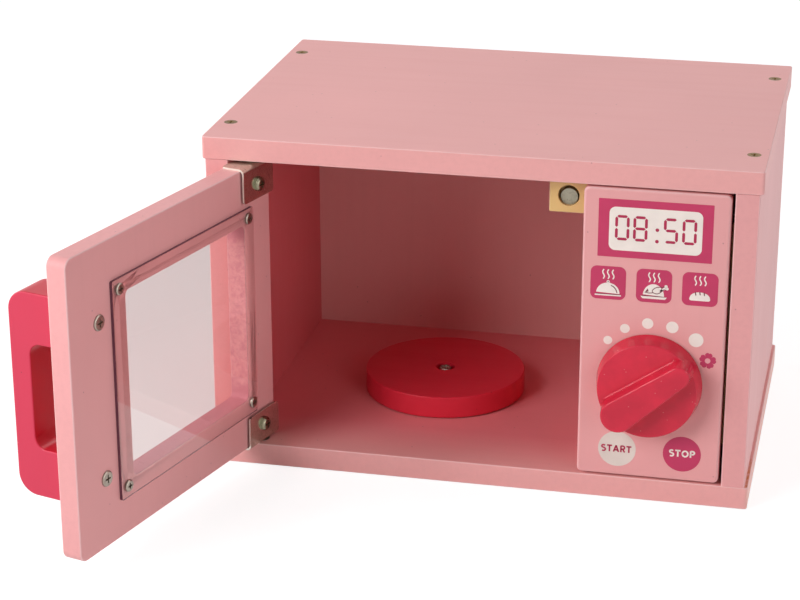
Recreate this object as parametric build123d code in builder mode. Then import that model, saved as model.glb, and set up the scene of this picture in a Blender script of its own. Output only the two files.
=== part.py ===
from build123d import *
import os
from math import cos, radians, sin, tan

# A wooden toy microwave. X points right, Y to the back and Z up, and the origin is the
# centre of the case's underside. The door stands open, as in the rest pose. Millimetres.

# Case boards
BOARD = 12.0
CASE_WIDTH = 285.0
CASE_DEPTH = 200.0
CASE_HEIGHT = 181.0
BOARD_CORNER_RADIUS = 1.5
BOARD_EDGE_RADIUS = 0.6
SIDE_INSET = 1.7
SIDE_REAR_INSET = 2.0
BACK_THICKNESS = 5.0
BACK_INSET = 12.0
GROOVE_DEPTH = 5.0
GROOVE_END_SPACE = 0.5

# Control panel and the batten behind its right edge
CONTROL_SPACE_RIGHT = 1.6
CONTROL_SPACE_BELOW = 1.0
CONTROL_SPACE_ABOVE = 1.2
CONTROL_THICKNESS = 12.0
CONTROL_CORNER_RADIUS = 2.8
CONTROL_EDGE_RADIUS = 1.4
CLEAT_WIDTH = 12.0
CLEAT_SPACE_BELOW = 18.0
CLEAT_SPACE_ABOVE = 19.0

# Countersunk screws through the top and bottom boards
CASE_SCREW_FROM_SIDE = 7.6
CASE_SCREW_FROM_FRONT = 27.5
CASE_SCREW_FROM_REAR = 29.2
CASE_SCREW_HEAD_RADIUS = 3.5
CASE_SCREW_ANGLE = 90.0
CASE_SCREW_SHANK_RADIUS = 2.0
CASE_SCREW_LENGTH = 40.0
CASE_SCREW_RECESS = 3.6

# Dowels
DOWEL_RADIUS = 3.0
DOWEL_DEPTH = 8.0
DIVIDER_DOWEL_FROM_FRONT = 38.0
DIVIDER_DOWEL_FROM_REAR = 33.0
CONTROL_DOWEL_FROM_END = 32.0

# Door catch
BLOCK_WIDTH = 19.2
BLOCK_HEIGHT = 19.6
BLOCK_DEPTH = 20.0
BLOCK_EDGE_RADIUS = 0.8
CATCH_FROM_DIVIDER = 9.3
CATCH_BELOW_CEILING = 10.5
MAGNET_BORE_RADIUS = 5.45
MAGNET_BORE_DEPTH = 7.0
MAGNET_RADIUS = 4.3
MAGNET_LENGTH = 5.0
STRIKE_RADIUS = 3.25
STRIKE_THICKNESS = 2.5

# Turntable, placed from the middle of the oven space
TURNTABLE_TO_RIGHT = 2.8
TURNTABLE_TO_REAR = 4.3
TURNTABLE_RADIUS = 44.4
TURNTABLE_THICKNESS = 12.2
TURNTABLE_LIFT = 0.6
TURNTABLE_EDGE_RADIUS = 0.7
TURNTABLE_RECESS_RADIUS = 5.4
TURNTABLE_RECESS_DEPTH = 3.0
TURNTABLE_SCREW_HEAD_RADIUS = 3.5
TURNTABLE_SCREW_HEAD_HEIGHT = 2.5
TURNTABLE_SCREW_SHANK_RADIUS = 2.0
TURNTABLE_SCREW_RECESS = 4.0
TURNTABLE_SCREW_DEPTH = 9.0
TURNTABLE_WASHER_RADIUS = 7.0

# Timer knob: sizes along its axis are counted from the control panel's front face
KNOB_LEFT_OF_MIDDLE = 0.6
KNOB_FROM_PANEL_BOTTOM = 52.4
KNOB_SKIRT_RADIUS = 26.9
KNOB_FACE_RADIUS = 25.05
KNOB_RIM_RADIUS = 0.6
KNOB_STAND_OFF = 0.8
KNOB_FACE_FRONT = 11.0
GRIP_FRONT = 19.2
GRIP_WIDE_X = -13.5
GRIP_WIDE_Z = -11.7
GRIP_WIDE_RADIUS = 8.5
GRIP_NARROW_X = 16.2
GRIP_NARROW_Z = 11.9
GRIP_NARROW_RADIUS = 5.6
GRIP_BACK = 8.5
GRIP_DRAFT = 6.0
GRIP_EDGE_RADIUS = 0.9
GRIP_REACH = 27.2
KNOB_BOSS_RADIUS = 5.0
KNOB_WASHER_RADIUS = 8.0
KNOB_WASHER_THICKNESS = 1.0
KNOB_SCREW_HEAD_RADIUS = 3.0
KNOB_SCREW_HEAD_HEIGHT = 2.0
KNOB_SCREW_SHANK_RADIUS = 1.5
KNOB_SCREW_LENGTH = 14.0
KNOB_SCREW_RECESS = 3.4

# Door: lengths along it are counted from the hinge edge, and depths from the inner face
OPEN_ANGLE = 105.6
HINGE_FROM_SIDE = 11.8
HINGE_FROM_FRONT = 7.8
HINGE_FROM_EDGE = 8.5
HINGE_FROM_INNER_FACE = 3.2
DOOR_WIDTH = 176.8
DOOR_THICKNESS = 11.0
DOOR_SPACE_RIGHT = 3.1
DOOR_SPACE_BELOW = 1.6
DOOR_SPACE_ABOVE = 1.9
DOOR_CORNER_RADIUS = 5.0
DOOR_EDGE_RADIUS = 0.8
WINDOW_FROM_HINGE_EDGE = 26.0
WINDOW_FROM_FREE_EDGE = 44.8
WINDOW_FROM_BOTTOM = 27.9
WINDOW_FROM_TOP = 29.1
WINDOW_CORNER_RADIUS = 3.0
WINDOW_EDGE_RADIUS = 0.6

# Window pane, larger than the window by these overlaps
PANE_OVERLAP_HINGE_SIDE = 8.0
PANE_OVERLAP_HANDLE_SIDE = 11.5
PANE_OVERLAP_HEIGHT = 8.3
PANE_THICKNESS = 1.5
PANE_CORNER_RADIUS = 1.0
PANE_SCREW_SIDE_INSET = 5.3
PANE_SCREW_TOP_INSET = 5.1
PANE_SCREW_BOTTOM_INSET = 6.2
PANE_SCREW_HEAD_RADIUS = 3.0
PANE_SCREW_HEAD_HEIGHT = 1.2
PANE_SCREW_SHANK_RADIUS = 1.25
PANE_SCREW_LENGTH = 8.0
PANE_SCREW_RECESS = 3.2

# Handle
HANDLE_WIDTH = 20.0
HANDLE_FROM_FREE_EDGE = 13.3
HANDLE_FRONT = 44.8
HANDLE_FROM_BOTTOM = 23.1
HANDLE_FROM_TOP = 25.2
HANDLE_CORNER_RADIUS = 10.5
HANDLE_EDGE_RADIUS = 0.8
SLOT_FRONT = 33.4
SLOT_FROM_HANDLE_BOTTOM = 25.3
SLOT_FROM_HANDLE_TOP = 25.9
SLOT_CORNER_RADIUS = 6.0
HANDLE_SCREW_FROM_BOTTOM = 12.5
HANDLE_SCREW_FROM_TOP = 12.7
HANDLE_SCREW_HEAD_RADIUS = 4.0
HANDLE_SCREW_HEAD_HEIGHT = 2.2
HANDLE_SCREW_SUNK = 1.2
HANDLE_SCREW_SHANK_RADIUS = 2.0
HANDLE_SCREW_LENGTH = 26.0
HANDLE_SCREW_RECESS = 4.4

# Hinge brackets and their screws
BRACKET_THICKNESS = 1.0
BRACKET_STAND_OFF = 1.0
BRACKET_START = -1.0
BRACKET_END = 27.2
BRACKET_LEAF = 17.6
BRACKET_FRONT = 11.0
BRACKET_BEND_RADIUS = 2.8
BRACKET_TIP_RADIUS = 3.5
BRACKET_CORNER_RADIUS = 1.8
BRACKET_SCREW_ALONG = 13.4
BRACKET_SCREW_FROM_DOOR_EDGE = 9.9
BRACKET_SCREW_HEAD_RADIUS = 3.75
BRACKET_SCREW_HEAD_HEIGHT = 2.3
BRACKET_SCREW_DOME_RADIUS = 1.6
BRACKET_SCREW_SHANK_RADIUS = 1.75
BRACKET_SCREW_LENGTH = 11.0
BRACKET_SCREW_RECESS = 4.2
BRACKET_WASHER_RADIUS = 3.6

# Hinge pivot screws
PIVOT_RADIUS = 1.5
PIVOT_DEPTH = 9.0
PIVOT_HEAD_RADIUS = 2.5
PIVOT_HEAD_HEIGHT = 2.0
PIVOT_RECESS = 2.6
PIVOT_BORE_RADIUS = 3.6
PIVOT_BORE_DEPTH = 3.3
PIVOT_WASHER_RADIUS = 4.5

# Fits and small details shared by several pieces
TURNING_FIT = 0.05
FACE_GAP = 0.3
RECESS_SLOT = 0.9
RECESS_DEPTH = 1.0
RECESS_DRAFT = 12.0
HEAD_EDGE_RADIUS = 0.7

front_y = -CASE_DEPTH / 2
rear_y = CASE_DEPTH / 2
ceiling_z = CASE_HEIGHT - BOARD
side_outer_x = CASE_WIDTH / 2 - SIDE_INSET
side_inner_x = side_outer_x - BOARD
back_rear_y = rear_y - BACK_INSET
back_face_y = back_rear_y - BACK_THICKNESS

hinge_x = -side_inner_x + HINGE_FROM_SIDE
hinge_y = front_y + HINGE_FROM_FRONT
door_left_x = hinge_x - HINGE_FROM_EDGE
door_bottom_z = BOARD + DOOR_SPACE_BELOW
door_top_z = ceiling_z - DOOR_SPACE_ABOVE
door_middle_z = (door_bottom_z + door_top_z) / 2

divider_left_x = door_left_x + DOOR_WIDTH + DOOR_SPACE_RIGHT
divider_x = divider_left_x + BOARD / 2
divider_front_y = front_y + CONTROL_THICKNESS
control_width = side_inner_x - CONTROL_SPACE_RIGHT - divider_left_x
control_bottom_z = BOARD + CONTROL_SPACE_BELOW
control_top_z = ceiling_z - CONTROL_SPACE_ABOVE
knob_x = divider_left_x + control_width / 2 - KNOB_LEFT_OF_MIDDLE
knob_z = control_bottom_z + KNOB_FROM_PANEL_BOTTOM

catch_x = divider_left_x - CATCH_FROM_DIVIDER
catch_z = ceiling_z - CATCH_BELOW_CEILING
magnet_z = catch_z - (MAGNET_BORE_RADIUS - MAGNET_RADIUS)
strike_distance = catch_x - door_left_x

turntable_x = (divider_left_x - side_inner_x) / 2 + TURNTABLE_TO_RIGHT
turntable_y = (front_y + back_face_y) / 2 + TURNTABLE_TO_REAR
turntable_bottom_z = BOARD + TURNTABLE_LIFT
turntable_top_z = turntable_bottom_z + TURNTABLE_THICKNESS

case_screw_x = CASE_WIDTH / 2 - CASE_SCREW_FROM_SIDE
case_screw_rows = [front_y + CASE_SCREW_FROM_FRONT, rear_y - CASE_SCREW_FROM_REAR]
case_screw_spots = [(x, y) for x in (-case_screw_x, case_screw_x) for y in case_screw_rows]
divider_dowel_spots = [
    (divider_x, divider_front_y + DIVIDER_DOWEL_FROM_FRONT),
    (divider_x, back_face_y - DIVIDER_DOWEL_FROM_REAR),
]
control_dowel_heights = [
    control_bottom_z + CONTROL_DOWEL_FROM_END,
    control_top_z - CONTROL_DOWEL_FROM_END,
]

window_start = WINDOW_FROM_HINGE_EDGE
window_end = DOOR_WIDTH - WINDOW_FROM_FREE_EDGE
window_bottom_z = door_bottom_z + WINDOW_FROM_BOTTOM
window_top_z = door_top_z - WINDOW_FROM_TOP
pane_start = window_start - PANE_OVERLAP_HINGE_SIDE
pane_end = window_end + PANE_OVERLAP_HANDLE_SIDE
pane_bottom_z = window_bottom_z - PANE_OVERLAP_HEIGHT
pane_top_z = window_top_z + PANE_OVERLAP_HEIGHT

handle_end = DOOR_WIDTH - HANDLE_FROM_FREE_EDGE
handle_start = handle_end - HANDLE_WIDTH
handle_bottom_z = door_bottom_z + HANDLE_FROM_BOTTOM
handle_top_z = door_top_z - HANDLE_FROM_TOP
slot_bottom_z = handle_bottom_z + SLOT_FROM_HANDLE_BOTTOM
slot_top_z = handle_top_z - SLOT_FROM_HANDLE_TOP

# The door's own directions in the open rest pose: along runs from the hinge edge to the
# free edge, and outward from the inner face to the outer face.
swing = radians(OPEN_ANGLE)
along = Vector(cos(swing), -sin(swing), 0)
outward = Vector(-sin(swing), -cos(swing), 0)
hinge_corner = (
    Vector(hinge_x, hinge_y, 0) - along * HINGE_FROM_EDGE - outward * HINGE_FROM_INNER_FACE
)
door_plane = Plane(origin=hinge_corner, x_dir=along, z_dir=outward)
door_depth = Axis(hinge_corner, outward)
door_length = Axis(hinge_corner, along)

os.makedirs("parts", exist_ok=True)


def save(piece, name):
    """Labels a finished piece and writes it."""
    piece.part.label = name
    export_step(piece.part, f"parts/{name}.step")


def facing_up(x, y, z):
    """A place whose Z axis points up."""
    return Location((x, y, z))


def facing_down(x, y, z):
    """A place whose Z axis points down."""
    return Plane(origin=(x, y, z), x_dir=(1, 0, 0), z_dir=(0, 0, -1)).location


def facing_front(x, y, z):
    """A place whose Z axis points to the front."""
    return Plane(origin=(x, y, z), x_dir=(1, 0, 0), z_dir=(0, -1, 0)).location


def facing_back(x, y, z):
    """A place whose Z axis points to the back."""
    return Plane(origin=(x, y, z), x_dir=(1, 0, 0), z_dir=(0, 1, 0)).location


def facing_inward(distance, height, depth=0.0):
    """A place on the door whose Z axis points out of the inner face."""
    spot = hinge_corner + along * distance + outward * depth + Vector(0, 0, height)
    return Plane(origin=spot, x_dir=-along, z_dir=-outward).location


def block(low, high, mode=Mode.ADD):
    """Adds or cuts the box between two corners."""
    with Locations(low):
        Box(
            high[0] - low[0],
            high[1] - low[1],
            high[2] - low[2],
            align=(Align.MIN, Align.MIN, Align.MIN),
            mode=mode,
        )


def rod(places, radius, depth, mode=Mode.ADD):
    """Adds or cuts a round bar below each place, along its -Z."""
    with Locations(*places):
        Cylinder(radius, depth, align=(Align.CENTER, Align.CENTER, Align.MAX), mode=mode)


def drill(places, radius, depth):
    """Cuts a round hole below each place, along its -Z."""
    rod(places, radius, depth, Mode.SUBTRACT)


def ring(place, outer_radius, inner_radius, thickness):
    """Adds a washer below the place."""
    rod([place], outer_radius, thickness)
    drill([place], inner_radius, thickness)


def copies(piece, places):
    """Adds a copy of the piece at each place."""
    for place in places:
        add(piece.moved(place))


def cross_recess(height, span):
    """Cuts the cross in a screw's head whose face is at this height."""
    with BuildSketch(Plane.XY.offset(height)) as cross:
        Rectangle(span, RECESS_SLOT)
        Rectangle(RECESS_SLOT, span)
    extrude(cross.sketch, amount=-RECESS_DEPTH, taper=RECESS_DRAFT, mode=Mode.SUBTRACT)


def pan_screw(head_radius, head_height, shank_radius, length, span, dome=HEAD_EDGE_RADIUS):
    """A pan-head screw along Z, with the underside of its head at Z = 0."""
    with BuildPart() as screw:
        Cylinder(head_radius, head_height, align=(Align.CENTER, Align.CENTER, Align.MIN))
        fillet(screw.faces().sort_by(Axis.Z)[-1].edges(), dome)
        rod([facing_up(0, 0, 0)], shank_radius, length)
        cross_recess(head_height, span)
    return screw.part


def flat_screw(head_radius, cone_angle, shank_radius, length, span):
    """A countersunk screw along Z, with the face of its head at Z = 0."""
    cone_height = (head_radius - shank_radius) / tan(radians(cone_angle / 2))
    with BuildPart() as screw:
        rod([facing_up(0, 0, 0)], shank_radius, length)
        Cone(
            shank_radius,
            head_radius,
            cone_height,
            align=(Align.CENTER, Align.CENTER, Align.MAX),
        )
        cross_recess(0, span)
    return screw.part


# Top board, grooved for the back panel
with BuildPart() as top_panel:
    with BuildSketch(Plane.XY.offset(ceiling_z)):
        RectangleRounded(CASE_WIDTH, CASE_DEPTH, BOARD_CORNER_RADIUS)
    extrude(amount=BOARD)
    fillet(top_panel.faces().filter_by(Axis.Z).edges(), BOARD_EDGE_RADIUS)
    block(
        (-side_inner_x - GROOVE_DEPTH, back_face_y, ceiling_z),
        (side_inner_x + GROOVE_DEPTH, back_rear_y, ceiling_z + GROOVE_DEPTH),
        Mode.SUBTRACT,
    )
    with Locations([(x, y, CASE_HEIGHT) for x, y in case_screw_spots]):
        CounterSinkHole(
            CASE_SCREW_SHANK_RADIUS,
            CASE_SCREW_HEAD_RADIUS,
            depth=BOARD,
            counter_sink_angle=CASE_SCREW_ANGLE,
        )
    drill([facing_down(hinge_x, hinge_y, ceiling_z)], PIVOT_RADIUS, PIVOT_DEPTH)
    drill(
        [facing_down(x, y, ceiling_z) for x, y in divider_dowel_spots], DOWEL_RADIUS, DOWEL_DEPTH
    )
save(top_panel, "top_panel")

# Bottom board: the top board's mirror image, with the turntable screw's hole
with BuildPart() as bottom_panel:
    mirror(top_panel.part, about=Plane.XY.offset(CASE_HEIGHT / 2))
    drill(
        [facing_up(turntable_x, turntable_y, BOARD)],
        TURNTABLE_SCREW_SHANK_RADIUS,
        TURNTABLE_SCREW_DEPTH,
    )
save(bottom_panel, "bottom_panel")

# Side boards
with BuildPart() as right_side_panel:
    block(
        (side_inner_x, front_y, BOARD),
        (side_outer_x, rear_y - SIDE_REAR_INSET, ceiling_z),
    )
    fillet(right_side_panel.edges().filter_by(Axis.Z), BOARD_EDGE_RADIUS)
    block(
        (side_inner_x, back_face_y, BOARD),
        (side_inner_x + GROOVE_DEPTH, back_rear_y, ceiling_z),
        Mode.SUBTRACT,
    )
    for y in case_screw_rows:
        drill(
            [facing_up(case_screw_x, y, ceiling_z), facing_down(case_screw_x, y, BOARD)],
            CASE_SCREW_SHANK_RADIUS,
            CASE_SCREW_LENGTH - BOARD,
        )
save(right_side_panel, "right_side_panel")

with BuildPart() as left_side_panel:
    mirror(right_side_panel.part, about=Plane.YZ)
save(left_side_panel, "left_side_panel")

# Back panel, let into the grooves
back_reach = GROOVE_DEPTH - GROOVE_END_SPACE
with BuildPart() as back_panel:
    block(
        (-side_inner_x - back_reach, back_face_y, BOARD - back_reach),
        (side_inner_x + back_reach, back_rear_y, ceiling_z + back_reach),
    )
save(back_panel, "back_panel")

# Divider between the oven space and the control compartment
with BuildPart() as divider_panel:
    block(
        (divider_left_x, divider_front_y, BOARD),
        (divider_left_x + BOARD, back_face_y, ceiling_z),
    )
    for x, y in divider_dowel_spots:
        drill([facing_up(x, y, ceiling_z), facing_down(x, y, BOARD)], DOWEL_RADIUS, DOWEL_DEPTH)
    drill(
        [facing_front(divider_x, divider_front_y, z) for z in control_dowel_heights],
        DOWEL_RADIUS,
        DOWEL_DEPTH,
    )
save(divider_panel, "divider_panel")

with BuildPart() as divider_dowels:
    for x, y in divider_dowel_spots:
        rod(
            [facing_up(x, y, ceiling_z + DOWEL_DEPTH), facing_up(x, y, BOARD + DOWEL_DEPTH)],
            DOWEL_RADIUS,
            2 * DOWEL_DEPTH,
        )
save(divider_dowels, "divider_dowels")

# Control panel
with BuildPart() as control_panel:
    with BuildSketch(Plane(facing_front(divider_left_x, front_y, 0))):
        with Locations((control_width / 2, (control_bottom_z + control_top_z) / 2)):
            RectangleRounded(
                control_width, control_top_z - control_bottom_z, CONTROL_CORNER_RADIUS
            )
    extrude(amount=-CONTROL_THICKNESS)
    fillet(control_panel.faces().sort_by(Axis.Y)[0].edges(), CONTROL_EDGE_RADIUS)
    drill(
        [facing_front(knob_x, front_y, knob_z)],
        KNOB_BOSS_RADIUS + TURNING_FIT,
        CONTROL_THICKNESS,
    )
    drill(
        [facing_back(divider_x, divider_front_y, z) for z in control_dowel_heights],
        DOWEL_RADIUS,
        DOWEL_DEPTH,
    )
save(control_panel, "control_panel")

with BuildPart() as control_panel_dowels:
    rod(
        [
            facing_front(divider_x, divider_front_y - DOWEL_DEPTH, z)
            for z in control_dowel_heights
        ],
        DOWEL_RADIUS,
        2 * DOWEL_DEPTH,
    )
save(control_panel_dowels, "control_panel_dowels")

with BuildPart() as control_panel_cleat:
    block(
        (side_inner_x - CLEAT_WIDTH, divider_front_y, BOARD + CLEAT_SPACE_BELOW),
        (side_inner_x, divider_front_y + CLEAT_WIDTH, ceiling_z - CLEAT_SPACE_ABOVE),
    )
save(control_panel_cleat, "control_panel_cleat")

# Case screws
case_screw = flat_screw(
    CASE_SCREW_HEAD_RADIUS,
    CASE_SCREW_ANGLE,
    CASE_SCREW_SHANK_RADIUS,
    CASE_SCREW_LENGTH,
    CASE_SCREW_RECESS,
)
with BuildPart() as top_case_screws:
    copies(case_screw, [facing_up(x, y, CASE_HEIGHT) for x, y in case_screw_spots])
save(top_case_screws, "top_case_screws")

with BuildPart() as bottom_case_screws:
    copies(case_screw, [facing_down(x, y, 0) for x, y in case_screw_spots])
save(bottom_case_screws, "bottom_case_screws")

# Door catch: a wooden block with a magnet in it
with BuildPart() as magnet_block:
    block(
        (divider_left_x - BLOCK_WIDTH, divider_front_y, ceiling_z - BLOCK_HEIGHT),
        (divider_left_x, divider_front_y + BLOCK_DEPTH, ceiling_z),
    )
    glued = magnet_block.faces().sort_by(Axis.Z)[-1].edges()
    glued += magnet_block.faces().sort_by(Axis.X)[-1].edges()
    fillet(magnet_block.edges() - glued, BLOCK_EDGE_RADIUS)
    drill(
        [facing_front(catch_x, divider_front_y, catch_z)], MAGNET_BORE_RADIUS, MAGNET_BORE_DEPTH
    )
save(magnet_block, "magnet_block")

with BuildPart() as catch_magnet:
    rod(
        [facing_front(catch_x, divider_front_y + MAGNET_BORE_DEPTH - MAGNET_LENGTH, magnet_z)],
        MAGNET_RADIUS,
        MAGNET_LENGTH,
    )
save(catch_magnet, "catch_magnet")

# Turntable, its screw and its washer
with BuildPart() as turntable_disc:
    rod(
        [facing_up(turntable_x, turntable_y, turntable_top_z)],
        TURNTABLE_RADIUS,
        TURNTABLE_THICKNESS,
    )
    fillet(turntable_disc.edges().filter_by(GeomType.CIRCLE), TURNTABLE_EDGE_RADIUS)
    with Locations((turntable_x, turntable_y, turntable_top_z)):
        CounterBoreHole(
            TURNTABLE_SCREW_SHANK_RADIUS + TURNING_FIT,
            TURNTABLE_RECESS_RADIUS,
            TURNTABLE_RECESS_DEPTH,
            depth=TURNTABLE_THICKNESS,
        )
save(turntable_disc, "turntable_disc")

turntable_head_z = turntable_top_z - TURNTABLE_RECESS_DEPTH + FACE_GAP
with BuildPart() as turntable_screw:
    copies(
        pan_screw(
            TURNTABLE_SCREW_HEAD_RADIUS,
            TURNTABLE_SCREW_HEAD_HEIGHT,
            TURNTABLE_SCREW_SHANK_RADIUS,
            turntable_head_z - BOARD + TURNTABLE_SCREW_DEPTH,
            TURNTABLE_SCREW_RECESS,
        ),
        [facing_up(turntable_x, turntable_y, turntable_head_z)],
    )
save(turntable_screw, "turntable_screw")

with BuildPart() as turntable_washer:
    ring(
        facing_up(turntable_x, turntable_y, turntable_bottom_z - FACE_GAP),
        TURNTABLE_WASHER_RADIUS,
        TURNTABLE_SCREW_SHANK_RADIUS,
        TURNTABLE_LIFT - FACE_GAP,
    )
save(turntable_washer, "turntable_washer")

# Timer knob: a tapered skirt with a grip bar across it, and a boss through the panel
boss_end = CONTROL_THICKNESS + FACE_GAP
knob_axis = Axis((knob_x, front_y, knob_z), (0, 1, 0))
with BuildPart() as control_knob:
    with BuildSketch(Plane(origin=(knob_x, front_y, knob_z), x_dir=(1, 0, 0), z_dir=(0, 0, 1))):
        with BuildLine():
            Polyline(
                (0, -KNOB_FACE_FRONT),
                (KNOB_FACE_RADIUS, -KNOB_FACE_FRONT),
                (KNOB_SKIRT_RADIUS, -KNOB_STAND_OFF),
                (KNOB_BOSS_RADIUS, -KNOB_STAND_OFF),
                (KNOB_BOSS_RADIUS, boss_end),
                (0, boss_end),
                close=True,
            )
        make_face()
    revolve(axis=knob_axis)
    fillet(control_knob.faces().sort_by(Axis.Y)[0].edges(), KNOB_RIM_RADIUS)
    drill(
        [facing_back(knob_x, front_y + boss_end, knob_z)],
        KNOB_SCREW_SHANK_RADIUS,
        KNOB_SCREW_LENGTH - KNOB_WASHER_THICKNESS,
    )

with BuildPart() as grip:
    with BuildSketch(Plane(facing_front(knob_x, front_y - GRIP_FRONT, knob_z))) as outline:
        with Locations((GRIP_WIDE_X, GRIP_WIDE_Z)):
            Circle(GRIP_WIDE_RADIUS)
        with Locations((GRIP_NARROW_X, GRIP_NARROW_Z)):
            Circle(GRIP_NARROW_RADIUS)
        make_hull()
    extrude(amount=-(GRIP_FRONT - GRIP_BACK), taper=-GRIP_DRAFT)
    rod(
        [facing_front(knob_x, front_y - GRIP_FRONT, knob_z)],
        GRIP_REACH,
        GRIP_FRONT,
        Mode.INTERSECT,
    )
    fillet(grip.faces().sort_by(Axis.Y)[0].edges(), GRIP_EDGE_RADIUS)

with control_knob:
    add(grip.part)
save(control_knob, "control_knob")

with BuildPart() as knob_washer:
    ring(
        facing_back(knob_x, front_y + boss_end + KNOB_WASHER_THICKNESS, knob_z),
        KNOB_WASHER_RADIUS,
        KNOB_SCREW_SHANK_RADIUS,
        KNOB_WASHER_THICKNESS,
    )
save(knob_washer, "knob_washer")

with BuildPart() as knob_screw:
    copies(
        pan_screw(
            KNOB_SCREW_HEAD_RADIUS,
            KNOB_SCREW_HEAD_HEIGHT,
            KNOB_SCREW_SHANK_RADIUS,
            KNOB_SCREW_LENGTH,
            KNOB_SCREW_RECESS,
        ),
        [facing_back(knob_x, front_y + boss_end + KNOB_WASHER_THICKNESS, knob_z)],
    )
save(knob_screw, "knob_screw")

# Door frame
pane_screw_places = [
    facing_inward(distance, height, -PANE_THICKNESS)
    for distance in (pane_start + PANE_SCREW_SIDE_INSET, pane_end - PANE_SCREW_SIDE_INSET)
    for height in (pane_bottom_z + PANE_SCREW_BOTTOM_INSET, pane_top_z - PANE_SCREW_TOP_INSET)
]
handle_distance = (handle_start + handle_end) / 2
handle_screw_places = [
    facing_inward(handle_distance, height, HANDLE_SCREW_SUNK)
    for height in (
        handle_bottom_z + HANDLE_SCREW_FROM_BOTTOM,
        handle_top_z - HANDLE_SCREW_FROM_TOP,
    )
]
bracket_face = BRACKET_STAND_OFF + BRACKET_THICKNESS
bracket_screw_heights = [
    door_bottom_z + BRACKET_SCREW_FROM_DOOR_EDGE,
    door_top_z - BRACKET_SCREW_FROM_DOOR_EDGE,
]
bracket_screw_places = [
    facing_inward(BRACKET_SCREW_ALONG, height, -bracket_face) for height in bracket_screw_heights
]
with BuildPart() as door_panel:
    with BuildSketch(door_plane):
        with Locations((DOOR_WIDTH / 2, door_middle_z)):
            RectangleRounded(DOOR_WIDTH, door_top_z - door_bottom_z, DOOR_CORNER_RADIUS)
    extrude(amount=DOOR_THICKNESS)
    fillet(door_panel.faces().filter_by(door_depth).edges(), DOOR_EDGE_RADIUS)
    with BuildSketch(door_plane) as window:
        with Locations(
            ((window_start + window_end) / 2, (window_bottom_z + window_top_z) / 2)
        ):
            RectangleRounded(
                window_end - window_start, window_top_z - window_bottom_z, WINDOW_CORNER_RADIUS
            )
    outer_rim = door_panel.edges()
    extrude(amount=DOOR_THICKNESS, mode=Mode.SUBTRACT)
    fillet(
        (door_panel.edges() - outer_rim).filter_by(door_depth, reverse=True), WINDOW_EDGE_RADIUS
    )
    drill(
        pane_screw_places,
        PANE_SCREW_SHANK_RADIUS,
        PANE_SCREW_LENGTH,
    )
    drill(handle_screw_places, HANDLE_SCREW_SHANK_RADIUS, DOOR_THICKNESS)
    drill(
        [place * Location((0, 0, HANDLE_SCREW_SUNK)) for place in handle_screw_places],
        HANDLE_SCREW_HEAD_RADIUS,
        HANDLE_SCREW_SUNK,
    )
    drill(
        bracket_screw_places,
        BRACKET_SCREW_SHANK_RADIUS,
        BRACKET_SCREW_LENGTH,
    )
    drill([facing_inward(strike_distance, catch_z)], STRIKE_RADIUS, STRIKE_THICKNESS)
    drill(
        [
            facing_up(hinge_x, hinge_y, door_top_z),
            facing_down(hinge_x, hinge_y, door_bottom_z),
        ],
        PIVOT_BORE_RADIUS,
        PIVOT_BORE_DEPTH,
    )
save(door_panel, "door_panel")

with BuildPart() as door_strike_disc:
    rod([facing_inward(strike_distance, catch_z)], STRIKE_RADIUS, STRIKE_THICKNESS)
save(door_strike_disc, "door_strike_disc")

# Window pane and its screws
with BuildPart() as window_pane:
    with BuildSketch(door_plane):
        with Locations(((pane_start + pane_end) / 2, (pane_bottom_z + pane_top_z) / 2)):
            RectangleRounded(
                pane_end - pane_start, pane_top_z - pane_bottom_z, PANE_CORNER_RADIUS
            )
    extrude(amount=-PANE_THICKNESS)
    drill(pane_screw_places, PANE_SCREW_SHANK_RADIUS, PANE_THICKNESS)
save(window_pane, "window_pane")

with BuildPart() as window_screws:
    copies(
        pan_screw(
            PANE_SCREW_HEAD_RADIUS,
            PANE_SCREW_HEAD_HEIGHT,
            PANE_SCREW_SHANK_RADIUS,
            PANE_SCREW_LENGTH,
            PANE_SCREW_RECESS,
        ),
        pane_screw_places,
    )
save(window_screws, "window_screws")

# Handle: a bridge whose finger slot is closed by the door
slot_back = DOOR_THICKNESS - SLOT_CORNER_RADIUS
handle_plane = Plane(origin=hinge_corner + along * handle_end, x_dir=outward, z_dir=-along)
with BuildPart() as door_handle:
    with BuildSketch(handle_plane):
        with Locations((DOOR_THICKNESS, (handle_bottom_z + handle_top_z) / 2)):
            Rectangle(
                HANDLE_FRONT - DOOR_THICKNESS,
                handle_top_z - handle_bottom_z,
                align=(Align.MIN, Align.CENTER),
            )
        fillet(vertices().group_by(Axis.X)[-1], HANDLE_CORNER_RADIUS)
        with Locations(((slot_back + SLOT_FRONT) / 2, (slot_bottom_z + slot_top_z) / 2)):
            RectangleRounded(
                SLOT_FRONT - slot_back,
                slot_top_z - slot_bottom_z,
                SLOT_CORNER_RADIUS,
                mode=Mode.SUBTRACT,
            )
    extrude(amount=HANDLE_WIDTH)
    seat = door_handle.faces().group_by(door_depth)[0].edges()
    fillet(
        door_handle.faces().filter_by(door_length).edges() - seat,
        HANDLE_EDGE_RADIUS,
    )
    drill(handle_screw_places, HANDLE_SCREW_SHANK_RADIUS, HANDLE_SCREW_LENGTH)
save(door_handle, "door_handle")

with BuildPart() as handle_screws:
    copies(
        pan_screw(
            HANDLE_SCREW_HEAD_RADIUS,
            HANDLE_SCREW_HEAD_HEIGHT,
            HANDLE_SCREW_SHANK_RADIUS,
            HANDLE_SCREW_LENGTH,
            HANDLE_SCREW_RECESS,
        ),
        handle_screw_places,
    )
save(handle_screws, "handle_screws")

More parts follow.
